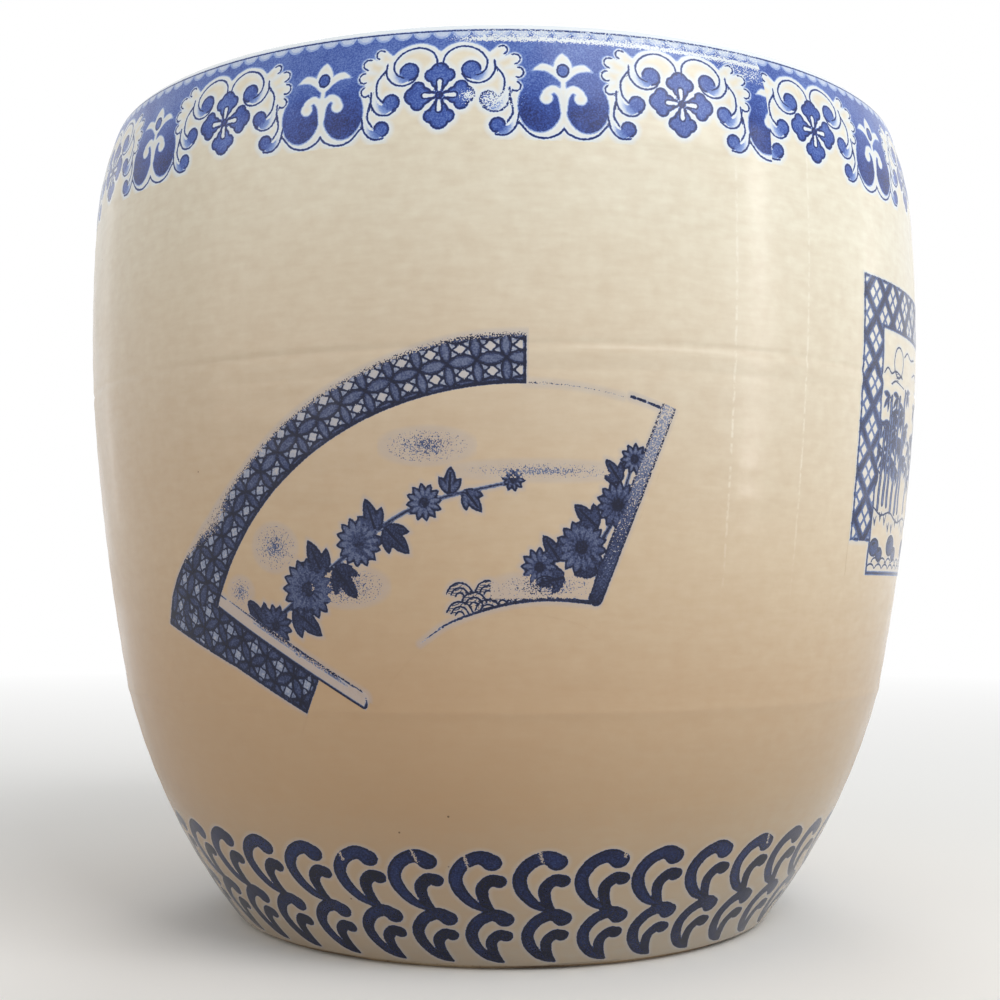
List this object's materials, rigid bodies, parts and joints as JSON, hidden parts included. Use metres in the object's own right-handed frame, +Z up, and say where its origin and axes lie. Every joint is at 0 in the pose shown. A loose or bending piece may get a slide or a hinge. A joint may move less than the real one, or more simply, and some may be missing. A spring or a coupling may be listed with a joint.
{
  "type": "ceramic planter",
  "caption": "Round stoneware planter pot with a rounded lip, a recessed foot ring, cream glaze and blue printed borders and panels.",
  "frame": {"origin": "centre of the ground contact of the foot ring", "axes": "+Z up along the pot's axis of revolution, -Y the front, which is the side with the fan panel"},
  "size_m": [0.3299, 0.3298, 0.304],
  "materials": {
    "biscuit": "matt bare fired clay",
    "cream_glaze": "glossy cream glaze",
    "lip_glaze": "glossy white glaze",
    "cobalt_print": "cobalt print under gloss"
  },
  "bodies": {
    "root": {"foot_ring": "biscuit", "floor_slab": "biscuit", "lower_wall": "biscuit", "middle_wall": "biscuit", "upper_wall": "biscuit", "rim_lip": "biscuit", "outer_glaze": "cream_glaze", "inner_glaze": "lip_glaze", "rim_border_print": "cobalt_print", "foot_border_print": "cobalt_print", "fan_print_front": "cobalt_print", "fan_print_back": "cobalt_print", "framed_print_right": "cobalt_print", "framed_print_left": "cobalt_print"}
  },
  "joints": []
}
